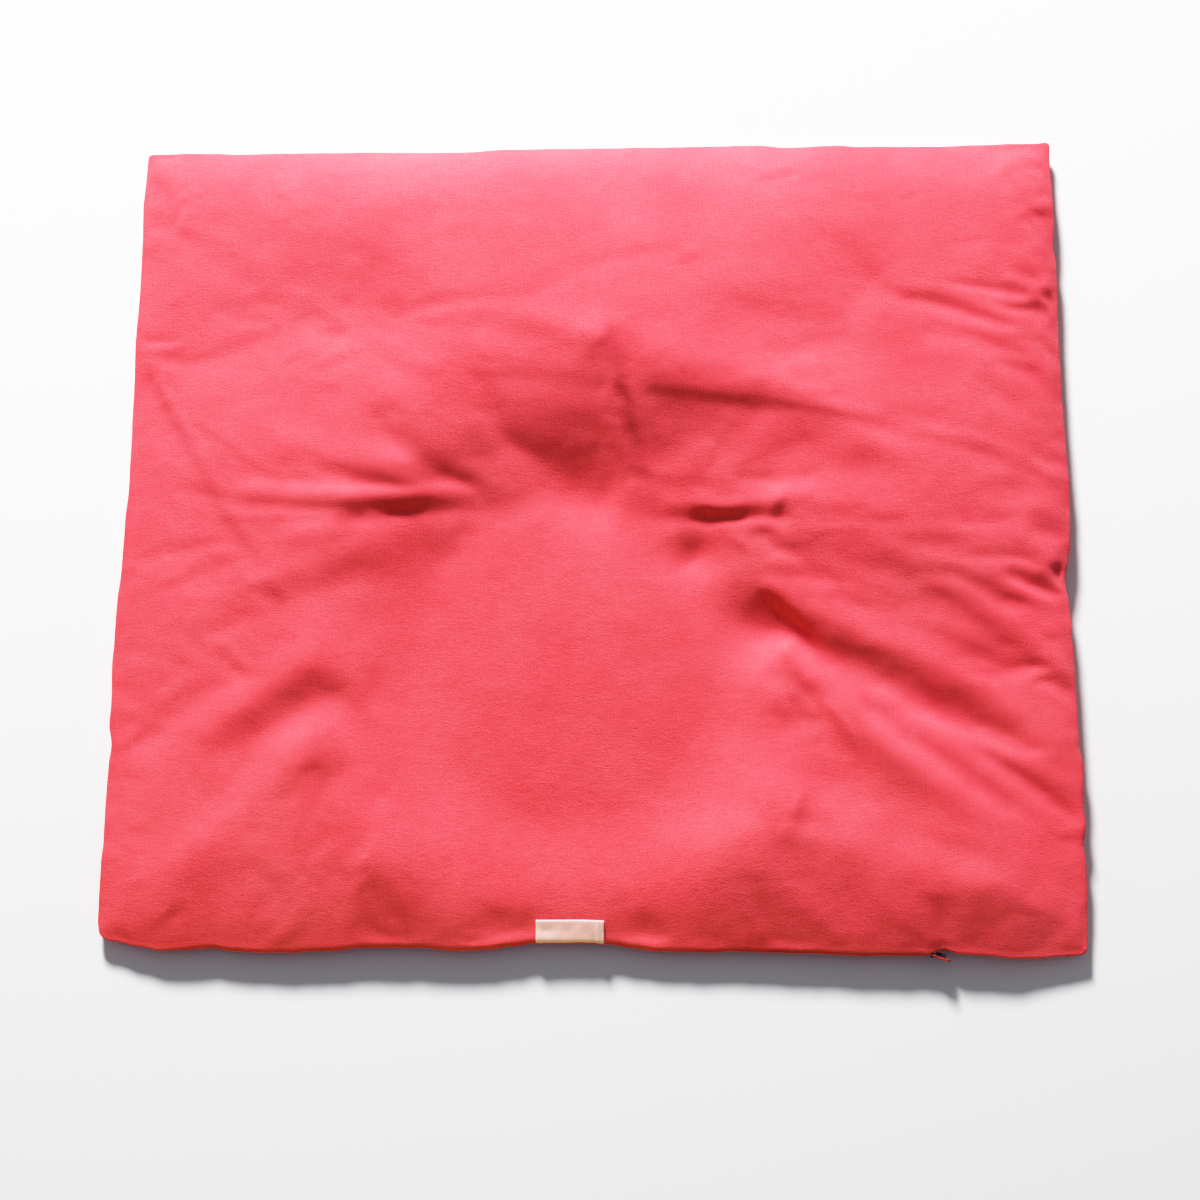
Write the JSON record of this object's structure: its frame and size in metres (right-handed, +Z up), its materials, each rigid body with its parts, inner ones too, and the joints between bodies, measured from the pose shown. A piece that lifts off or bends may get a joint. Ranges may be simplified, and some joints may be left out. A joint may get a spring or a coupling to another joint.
{
  "type": "meditation mat",
  "caption": "Flat filled cotton floor mat with rounded shoulders, a plain edge seam, a shallow seat hollow with creases running into it, a blank seam label and a zip slider.",
  "frame": {"origin": "middle of the part's box, on the underside that rests on the floor", "axes": "+X along the long side with the zip slider near the +X end of the front, -Y towards the front edge with the label, +Z up through the thickness"},
  "size_m": [0.7586, 0.6566, 0.0526],
  "materials": {
    "cover_cotton": "matt plain-weave cotton with fine slubs, coral pink",
    "label_cotton": "matt fine woven cotton tape, pale beige, blank",
    "slider_metal": "dark satin coated metal",
    "pull_coat": "coral-red satin enamel on metal"
  },
  "bodies": {
    "root": {"mat_cover": "cover_cotton", "label": "label_cotton", "zip_slider": "slider_metal", "zip_pull": "pull_coat"}
  },
  "joints": []
}
